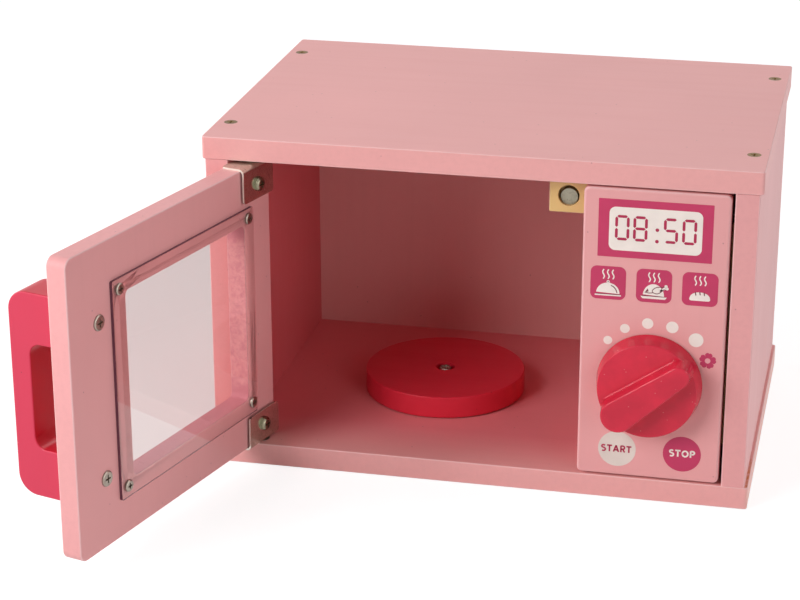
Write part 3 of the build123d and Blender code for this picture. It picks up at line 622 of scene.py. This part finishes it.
clear = clear_sheet("clear_pane", PANE_TINT, PANE_EDGE_SHADE)

finishes = {
    "top_panel": pink_flat,
    "bottom_panel": pink_flat,
    "left_side_panel": pink_side,
    "right_side_panel": pink_side,
    "back_panel": pink_back,
    "divider_panel": pink_side,
    "control_panel": pink_front,
    "control_panel_cleat": raw_wood,
    "top_case_screws": zinc,
    "bottom_case_screws": zinc,
    "divider_dowels": raw_wood,
    "control_panel_dowels": raw_wood,
    "magnet_block": lacquer,
    "catch_magnet": magnet_grey,
    "upper_hinge_pivot": nickel,
    "lower_hinge_pivot": nickel,
    "hinge_washers": nickel,
    "turntable_screw": nickel,
    "turntable_washer": nickel,
    "door_panel": pink_door,
    "window_pane": clear,
    "window_screws": nickel,
    "door_handle": crimson_door,
    "handle_screws": nickel,
    "upper_hinge_bracket": plate,
    "lower_hinge_bracket": plate,
    "hinge_bracket_screws": brass_nickel,
    "hinge_bracket_washers": brass_nickel,
    "door_strike_disc": pink_door,
    "turntable_disc": crimson_disc,
    "control_knob": knob_plastic,
    "knob_screw": nickel,
    "knob_washer": nickel,
}
for node_name, material in finishes.items():
    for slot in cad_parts[node_name].material_slots:
        slot.material = material


# Thin rounded edges on the sheet metal that catch the light
for node_name in ("upper_hinge_bracket", "lower_hinge_bracket", "hinge_bracket_washers"):
    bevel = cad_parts[node_name].modifiers.new("thin_edge", "BEVEL")
    bevel.width = BEVEL_WIDTH
    bevel.segments = BEVEL_SEGMENTS
    bevel.limit_method = "ANGLE"
    bevel.angle_limit = radians(BEVEL_ANGLE)


# Prints on the control panel: flat shapes in millimetres, x to the right and z up

def arc_points(cx, cz, radius, start, end, count):
    """Points along an arc, angles in degrees."""
    return [
        (cx + radius * cos(radians(a)), cz + radius * sin(radians(a)))
        for a in [start + (end - start) * k / count for k in range(count + 1)]
    ]


def circle(cx, cz, radius, count=48):
    """Points round a circle."""
    return arc_points(cx, cz, radius, 0, 360, count)[:-1]


def oval_points(cx, cz, across, up, angles):
    """Points on an oval at some angles in degrees."""
    return [(cx + across * cos(radians(a)), cz + up * sin(radians(a))) for a in angles]


def rounded(x0, z0, x1, z1, radius, steps=8):
    """Points round a rectangle with rounded corners."""
    left, right = x0 + radius, x1 - radius
    low, high = z0 + radius, z1 - radius
    points = []
    for turn, centre in zip((-90, 0, 90, 180), ((right, low), (right, high), (left, high), (left, low))):
        points += arc_points(*centre, radius, turn, turn + 90, steps)
    return points


def stroke(points, width, round_ends=True, steps=6):
    """Outline of a line of some width with round or square ends."""
    half = width / 2
    left, right = [], []
    for k, (x, z) in enumerate(points):
        before = points[max(k - 1, 0)]
        after = points[min(k + 1, len(points) - 1)]
        step = Vector((after[0] - before[0], after[1] - before[1])).normalized()
        left.append((x - step.y * half, z + step.x * half))
        right.append((x + step.y * half, z - step.x * half))
    if not round_ends:
        return left + right[::-1]
    first = Vector((points[1][0] - points[0][0], points[1][1] - points[0][1]))
    last = Vector((points[-1][0] - points[-2][0], points[-1][1] - points[-2][1]))
    heading_first = degrees_of(first)
    heading_last = degrees_of(last)
    cap_end = arc_points(*points[-1], half, heading_last + 90, heading_last - 90, steps)
    cap_start = arc_points(*points[0], half, heading_first - 90, heading_first - 270, steps)
    return left[:-1] + cap_end + right[-2:0:-1] + cap_start


def degrees_of(vector):
    """Heading of a 2-D vector in degrees."""
    return atan2(vector[1], vector[0]) * 180 / pi


def wave(x, z0, z1, swing, count=12):
    """A steam line: one period of a wave going up."""
    return [
        (x + swing * sin(2 * pi * k / count), z0 + (z1 - z0) * k / count) for k in range(count + 1)
    ]


def print_piece(name, outlines, layer, material):
    """A flat print on the control panel made of closed outlines."""
    mesh = bpy.data.meshes.new(name)
    work = bmesh.new()
    for outline in outlines:
        front = [work.verts.new((x * MM, (PANEL_FRONT - layer) * MM, z * MM)) for x, z in outline]
        back = [work.verts.new((x * MM, PANEL_FRONT * MM, z * MM)) for x, z in outline]
        work.faces.new(front)
        work.faces.new(back[::-1])
        for k in range(len(front)):
            other = (k + 1) % len(front)
            work.faces.new((front[k], back[k], back[other], front[other]))
    bmesh.ops.recalc_face_normals(work, faces=work.faces)
    bmesh.ops.triangulate(work, faces=[f for f in work.faces if len(f.verts) > 4])
    work.to_mesh(mesh)
    work.free()
    piece = bpy.data.objects.new(name, mesh)
    piece.data.materials.append(material)
    bpy.context.collection.objects.link(piece)
    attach(piece, "case")


# Clock: left, foot, right, top and corner radius of its field and of its white window
CLOCK = (61.95, 132.05, 118.8, 162.45, 0.3)
CLOCK_WHITE = (67.4, 135.75, 113.55, 158.45, 3.2)
print_piece("clock_field", [rounded(*CLOCK)], LAYER_BASE, magenta_ink)
print_piece("clock_window", [rounded(*CLOCK_WHITE)], LAYER_MIDDLE, white_ink)

DIGIT_BOTTOM = 141.1
DIGIT_HEIGHT = 13.2
DIGIT_WIDTH = 7.15
SEGMENT = 1.4
SEGMENT_GAP = 0.25
SEGMENTS_OF = {"0": "abcdef", "5": "acdfg", "8": "abcdefg"}
CLOCK_FIGURES = (("0", 70.35), ("8", 79.35), ("5", 94.45), ("0", 103.65))
COLON_X = 91.3
COLON_HEIGHTS = (147.7, 141.7)
COLON_RADIUS = 0.92


def segment_outline(x0, z0, x1, z1):
    """One bar of a digit with pointed ends."""
    half = SEGMENT / 2
    if x0 == x1:
        return [
            (x0, z0 + SEGMENT_GAP), (x0 + half, z0 + half + SEGMENT_GAP),
            (x0 + half, z1 - half - SEGMENT_GAP), (x0, z1 - SEGMENT_GAP),
            (x0 - half, z1 - half - SEGMENT_GAP), (x0 - half, z0 + half + SEGMENT_GAP),
        ]
    return [
        (x0 + SEGMENT_GAP, z0), (x0 + half + SEGMENT_GAP, z0 - half),
        (x1 - half - SEGMENT_GAP, z0 - half), (x1 - SEGMENT_GAP, z0),
        (x1 - half - SEGMENT_GAP, z0 + half), (x0 + half + SEGMENT_GAP, z0 + half),
    ]


def digit(figure, left):
    """Outlines of a seven-segment figure."""
    half = SEGMENT / 2
    x0, x1 = left + half, left + DIGIT_WIDTH - half
    z0, z2 = DIGIT_BOTTOM + half, DIGIT_BOTTOM + DIGIT_HEIGHT - half
    z1 = (z0 + z2) / 2
    bars = {
        "a": (x0, z2, x1, z2), "b": (x1, z1, x1, z2), "c": (x1, z0, x1, z1),
        "d": (x0, z0, x1, z0), "e": (x0, z0, x0, z1), "f": (x0, z1, x0, z2),
        "g": (x0, z1, x1, z1),
    }
    return [segment_outline(*bars[key]) for key in SEGMENTS_OF[figure]]


figures = []
for figure, left in CLOCK_FIGURES:
    figures += digit(figure, left)
for z in COLON_HEIGHTS:
    figures.append(circle(COLON_X, z, COLON_RADIUS, 16))
print_piece("clock_figures", figures, LAYER_TOP, deep_ink)

# Cooking pictures
PICTURE_LEFTS = (58.85, 81.85, 104.75)
PICTURE_WIDTH = 17.8
PICTURE_BOTTOM = 109.1
FIELD_BOTTOM = 109.35
FIELD_TOP = 126.95
FIELD_CORNER = 3.3
STEAM_PITCH = 2.4
STEAM_LOW = 11.3
STEAM_HIGH = 15.9
STEAM_SWING = 0.45
STEAM_LINE = 0.64
DETAIL_LINE = 0.42
centres = [left + PICTURE_WIDTH / 2 for left in PICTURE_LEFTS]
print_piece(
    "picture_fields",
    [rounded(left, FIELD_BOTTOM, left + PICTURE_WIDTH, FIELD_TOP, FIELD_CORNER) for left in PICTURE_LEFTS],
    LAYER_BASE,
    magenta_ink,
)
shapes = []
lines = []
for cx in centres:
    for shift in (-STEAM_PITCH, 0.0, STEAM_PITCH):
        steam = wave(cx + shift, PICTURE_BOTTOM + STEAM_LOW, PICTURE_BOTTOM + STEAM_HIGH, STEAM_SWING)
        shapes.append(stroke(steam, STEAM_LINE))


def dome(cx, foot, half_width, height):
    """Upper half of an oval on a flat foot."""
    return oval_points(cx, foot, half_width, height, range(0, 181, 7))


# Each picture is drawn in millimetres from the middle of its foot
# A covered dish
cx = centres[0]
foot = PICTURE_BOTTOM + 3.4
shapes.append(dome(cx, foot, 5.9, 5.7))
shapes.append(circle(cx, foot + 6.25, 0.8, 20))
shapes.append(stroke([(cx - 6.3, foot - 0.95), (cx + 6.4, foot - 0.9)], 0.66))
lines.append(stroke([(cx - 5.9, foot - 0.4), (cx + 6.0, foot - 0.35)], 0.34))
lines.append(circle(cx, foot + 6.3, 0.3, 12))
lines.append(stroke(arc_points(cx, foot, 4.6, 9, 69, 6), 0.5))
# A roast on a tray
cx = centres[1]
foot = PICTURE_BOTTOM + 3.75
shapes.append(dome(cx - 0.15, foot, 5.3, 6.3))
shapes.append(stroke([(cx + 3.6, foot + 3.0), (cx + 5.4, foot + 4.4)], 1.25))
shapes.append(circle(cx + 6.0, foot + 5.5, 0.8, 16))
shapes.append(circle(cx + 6.55, foot + 4.3, 0.8, 16))
shapes.append([
    (cx - 6.6, foot - 0.35), (cx - 5.6, foot - 1.55), (cx + 5.7, foot - 1.55), (cx + 6.6, foot - 0.35),
])
THIGH = (
    (5.0, 5.2), (4.1, 4.75), (3.0, 4.95), (2.0, 4.9), (1.0, 4.55), (0.1, 3.95), (-0.6, 3.15), (-0.8, 2.4),
    (-0.4, 1.8), (0.3, 1.5), (1.2, 1.3), (2.0, 1.35), (2.8, 1.75), (3.6, 2.45), (4.4, 3.3), (5.2, 3.85),
)
lines.append(stroke([(cx + x, foot + z) for x, z in THIGH], DETAIL_LINE))
lines.append(stroke([(cx - 4.4, foot + 1.75), (cx - 2.4, foot + 1.45), (cx - 0.5, foot + 1.7)], DETAIL_LINE))
lines.append([(cx - 4.45, foot + 1.7), (cx - 2.6, foot + 2.3), (cx - 3.1, foot + 3.9)])
lines.append(stroke([(cx - 5.7, foot - 0.12), (cx + 5.5, foot - 0.12)], 0.36))
# A loaf
cx = centres[2]
foot = PICTURE_BOTTOM + 3.0
left_foot = arc_points(cx - 4.2, foot + 1.0, 1.0, 180, 270, 6)
right_foot = arc_points(cx + 4.2, foot + 1.0, 1.0, 270, 360, 6)
crust = [
    (cx + 5.1 * cos(radians(a)), foot + 0.9 + 3.65 * sin(radians(a)) ** 0.85) for a in range(9, 172, 9)
]
shapes.append(left_foot + right_foot + crust)
for shift in (-2.15, 0.0, 2.15):
    notch = foot + 3.3 - 0.12 * abs(shift)
    lines.append(stroke([(cx + shift - 0.1, notch + 1.35), (cx + shift + 0.15, notch)], 0.55))
print_piece("picture_shapes", shapes, LAYER_MIDDLE, white_ink)
print_piece("picture_lines", lines, LAYER_TOP, line_ink)

# Dots round the knob and the flower at their end
DOTS = (
    (68.5, 87.3, 2.25), (76.95, 94.3, 2.45), (88.3, 97.9, 2.85), (100.7, 96.9, 3.1), (112.8, 91.0, 3.7),
)
print_piece("dial_dots", [circle(*dot) for dot in DOTS], LAYER_BASE, white_ink)
FLOWER = (119.05, 80.35)
FLOWER_TURN = 9
PETALS = 5
PETAL_POINTS = 180
PETAL_ROOT = 2.45
PETAL_REACH = 1.95
PETAL_FULLNESS = 0.32
PETAL_NOTCH = 0.4
PETAL_NOTCH_SHARPNESS = 6
FLOWER_CENTRE = 1.4
petals = []
for k in range(PETAL_POINTS):
    angle = 2 * pi * k / PETAL_POINTS
    gap = abs(cos(PETALS * angle / 2))
    notch = max(0.0, cos(PETALS * angle)) ** PETAL_NOTCH_SHARPNESS
    radius = PETAL_ROOT + PETAL_REACH * gap ** PETAL_FULLNESS - PETAL_NOTCH * notch
    turned = angle + radians(FLOWER_TURN)
    petals.append((FLOWER[0] + radius * sin(turned), FLOWER[1] + radius * cos(turned)))
print_piece("dial_flower", [petals], LAYER_BASE, magenta_ink)
flower_pink = plain_plastic("flower_pink", FLOWER_PINK, INK_ROUGHNESS)
print_piece("dial_flower_centre", [circle(*FLOWER, FLOWER_CENTRE, 24)], LAYER_MIDDLE, flower_pink)

# START and STOP: the middle of each disc, and each word's shift from it, width and line
START = (75.0, 27.75)
START_WORD = ((-0.15, 0.05), 16.1, 0.84)
STOP = (108.3, 27.9)
STOP_WORD = ((0.1, 0.3), 13.4, 0.86)
BUTTON_RADIUS = 9.7
WORD_HEIGHT = 4.5
LETTER_GAP = 0.14
# The START disc is a darker copy of the white print: painted shade
shaded_white_ink = plain_plastic("shaded_white_ink", SHADED_PRINT_WHITE, INK_ROUGHNESS, INK_SPECULAR)
print_piece("start_disc", [circle(*START, BUTTON_RADIUS, 64)], LAYER_BASE, shaded_white_ink)
print_piece("stop_disc", [circle(*STOP, BUTTON_RADIUS, 64)], LAYER_BASE, magenta_ink)


def letter(figure):
    """Centre lines of a capital letter, 1 high, and its width."""
    stem = [(0.1, 0.0), (0.1, 1.0)]
    bowl = [(0.1, 0.96)] + oval_points(0.3, 0.72, 0.24, 0.24, range(90, -91, -15)) + [(0.1, 0.48)]
    if figure == "S":
        upper = oval_points(0.27, 0.725, 0.21, 0.215, range(35, 226, 15))
        lower = oval_points(0.27, 0.285, 0.23, 0.235, range(45, -150, -15))
        return [upper + lower], 0.55
    if figure == "T":
        return [[(0.0, 0.93), (0.62, 0.93)], [(0.31, 0.93), (0.31, 0.0)]], 0.62
    if figure == "A":
        return [[(0.05, 0.0), (0.36, 1.0)], [(0.67, 0.0), (0.36, 1.0)], [(0.16, 0.3), (0.56, 0.3)]], 0.72
    if figure == "R":
        leg = [(0.3, 0.46), (0.38, 0.36), (0.56, 0.0)]
        return [stem, bowl, leg], 0.62
    if figure == "P":
        return [stem, bowl], 0.58
    ring = oval_points(0.4, 0.5, 0.32, 0.42, range(0, 361, 15))
    return [ring[:14], ring[12:]], 0.8


def word_piece(name, text, disc, word, material):
    """A printed word on a disc."""
    shift, width, line = word
    strokes = []
    advance = 0.0
    for figure in text:
        parts, wide = letter(figure)
        strokes += [[(advance + x, z) for x, z in part] for part in parts]
        advance += wide + LETTER_GAP
    xs = [x for part in strokes for x, _ in part]
    across = (width - line) / (max(xs) - min(xs))
    up = WORD_HEIGHT - line
    centre = (disc[0] + shift[0], disc[1] + shift[1])
    middle = (max(xs) + min(xs)) / 2
    outlines = []
    for part in strokes:
        placed = [(centre[0] + (x - middle) * across, centre[1] + (z - 0.5) * up) for x, z in part]
        outlines.append(stroke(placed, line, False))
    print_piece(name, outlines, LAYER_MIDDLE, material)


word_piece("start_word", "START", START, START_WORD, deep_ink)
word_piece("stop_word", "STOP", STOP, STOP_WORD, white_ink)

# Small fillets where the knob's grip meets its face: the knob's middle and the height of its face, the
# grip's two round ends (x, z and radius from the knob's middle), the fillet's radius, how far from the
# knob's middle it ends, how deep it sits in the grip, its steps, and its thinner ends
KNOB = (90.2, 65.4)
KNOB_FACE = 11.0
GRIP_WIDE = (-13.5, -11.7, 9.3)
GRIP_NARROW = (16.2, 11.9, 6.4)
FILLET = 0.9
FILLET_LIMIT = 23.4
FILLET_SUNK = 0.15
FILLET_STEPS = 8
FILLET_TAPER = 0.9
FILLET_TIP = 0.15


def grip_fillet():
    """Hollow fillets along both long sides of the grip."""
    x0, z0, r0 = GRIP_WIDE
    x1, z1, r1 = GRIP_NARROW
    run = Vector((x1 - x0, z1 - z0))
    spread = acos((r0 - r1) / run.length)
    mesh = bpy.data.meshes.new("grip_fillet")
    work = bmesh.new()
    for side in (1, -1):
        heading = atan2(run.y, run.x) + side * spread
        out = Vector((cos(heading), sin(heading)))
        start = Vector((x0, z0)) + out * r0
        end = Vector((x1, z1)) + out * r1
        along = (end - start).normalized()
        middle = start - along * start.dot(along)
        half = (FILLET_LIMIT ** 2 - middle.length_squared) ** 0.5
        rows = []
        for distance in (-half, -half * FILLET_TAPER, 0.0, half * FILLET_TAPER, half):
            size = FILLET if abs(distance) < half else FILLET * FILLET_TIP
            place = middle + along * distance
            section = []
            for k in range(FILLET_STEPS + 1):
                turn = radians(90 * k / FILLET_STEPS)
                section.append((size - size * cos(turn) - FILLET_SUNK, KNOB_FACE + size - size * sin(turn)))
            section.append((-FILLET_SUNK, KNOB_FACE))
            row = []
            for away, depth in section:
                flat = place + out * away
                row.append(work.verts.new(
                    ((KNOB[0] + flat.x) * MM, (PANEL_FRONT - depth) * MM, (KNOB[1] + flat.y) * MM)
                ))
            rows.append(row)
        for first, second in zip(rows, rows[1:]):
            for k in range(len(first)):
                other = (k + 1) % len(first)
                face = work.faces.new((first[k], first[other], second[other], second[k]))
                face.smooth = k < FILLET_STEPS
        work.faces.new(rows[0])
        work.faces.new(rows[-1])
    bmesh.ops.recalc_face_normals(work, faces=work.faces)
    bmesh.ops.triangulate(work, faces=[f for f in work.faces if len(f.verts) > 4])
    work.to_mesh(mesh)
    work.free()
    piece = bpy.data.objects.new("grip_fillet", mesh)
    mesh.materials.append(knob_plastic)
    bpy.context.collection.objects.link(piece)
    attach(piece, "knob")


grip_fillet()

# Floor and world: both show white to the camera and in reflections, and the floor keeps the shadow

def seen_directly(tree, through=1.0):
    """1 for rays from the camera and reflections, a share through clear parts, 0 for light on surfaces."""
    path = tree.nodes.new("ShaderNodeLightPath")
    either = calc(tree, "MAXIMUM", path.outputs["Is Camera Ray"], path.outputs["Is Glossy Ray"])
    seen = calc(tree, "MAXIMUM", either, path.outputs["Is Transmission Ray"])
    dimmed = calc(tree, "MULTIPLY", path.outputs["Is Transmission Ray"], 1 - through)
    return calc(tree, "MULTIPLY", seen, calc(tree, "SUBTRACT", 1.0, dimmed))


corners = [(x * FLOOR_REACH, y * FLOOR_REACH, 0) for x, y in ((-1, -1), (1, -1), (1, 1), (-1, 1))]
floor_mesh = bpy.data.meshes.new("floor")
floor_mesh.from_pydata(corners, [], [(0, 1, 2, 3)])
floor = bpy.data.objects.new("floor", floor_mesh)
bpy.context.collection.objects.link(floor)
floor.location.z = -FLOOR_DROP
floor_material, floor_tree, floor_shader = new_material("floor_white")
tone = between(floor_tree, seen_directly(floor_tree), 0.0, 1.0, FLOOR_LIT, FLOOR_SEEN)
floor_tree.links.new(tone, floor_shader.inputs["Base Color"])
floor_shader.inputs["Roughness"].default_value = FLOOR_ROUGHNESS
floor_shader.inputs["Specular IOR Level"].default_value = FLOOR_SPECULAR
floor_shader.inputs["Emission Color"].default_value = WHITE
glow = calc(floor_tree, "MULTIPLY", seen_directly(floor_tree, SEEN_THROUGH), FLOOR_GLOW)
floor_tree.links.new(glow, floor_shader.inputs["Emission Strength"])
floor_mesh.materials.append(floor_material)

world = bpy.data.worlds.new("studio")
bpy.context.scene.world = world
world.use_nodes = True
world_tree = world.node_tree
background = world_tree.nodes["Background"]
background.inputs["Color"].default_value = WHITE
strength = between(world_tree, seen_directly(world_tree, SEEN_THROUGH), 0.0, 1.0, WORLD_STRENGTH, 1.0)
world_tree.links.new(strength, background.inputs["Strength"])


def soft_lamp(name, place, target, size, power):
    """A square area lamp aimed at a point."""
    lamp = bpy.data.lights.new(name, "AREA")
    lamp.size = size
    lamp.energy = power
    holder = bpy.data.objects.new(name, lamp)
    bpy.context.collection.objects.link(holder)
    holder.location = place
    aim = Vector(target) - Vector(place)
    holder.rotation_euler = aim.to_track_quat("-Z", "Y").to_euler()


for lamp_values in LAMPS:
    soft_lamp(*lamp_values)

# Camera
camera_data = bpy.data.cameras.new("camera")
camera_data.lens = CAMERA_LENS
camera_data.sensor_width = CAMERA_SENSOR
camera = bpy.data.objects.new("camera", camera_data)
bpy.context.collection.objects.link(camera)
camera.matrix_world = (
    Matrix.Translation(CAMERA_PLACE)
    @ Matrix.Rotation(radians(CAMERA_HEADING), 4, "Z")
    @ Matrix.Rotation(radians(90 - CAMERA_PITCH), 4, "X")
    @ Matrix.Rotation(radians(CAMERA_ROLL), 4, "Z")
)
bpy.context.scene.camera = camera
bpy.context.scene.view_settings.view_transform = "Standard"
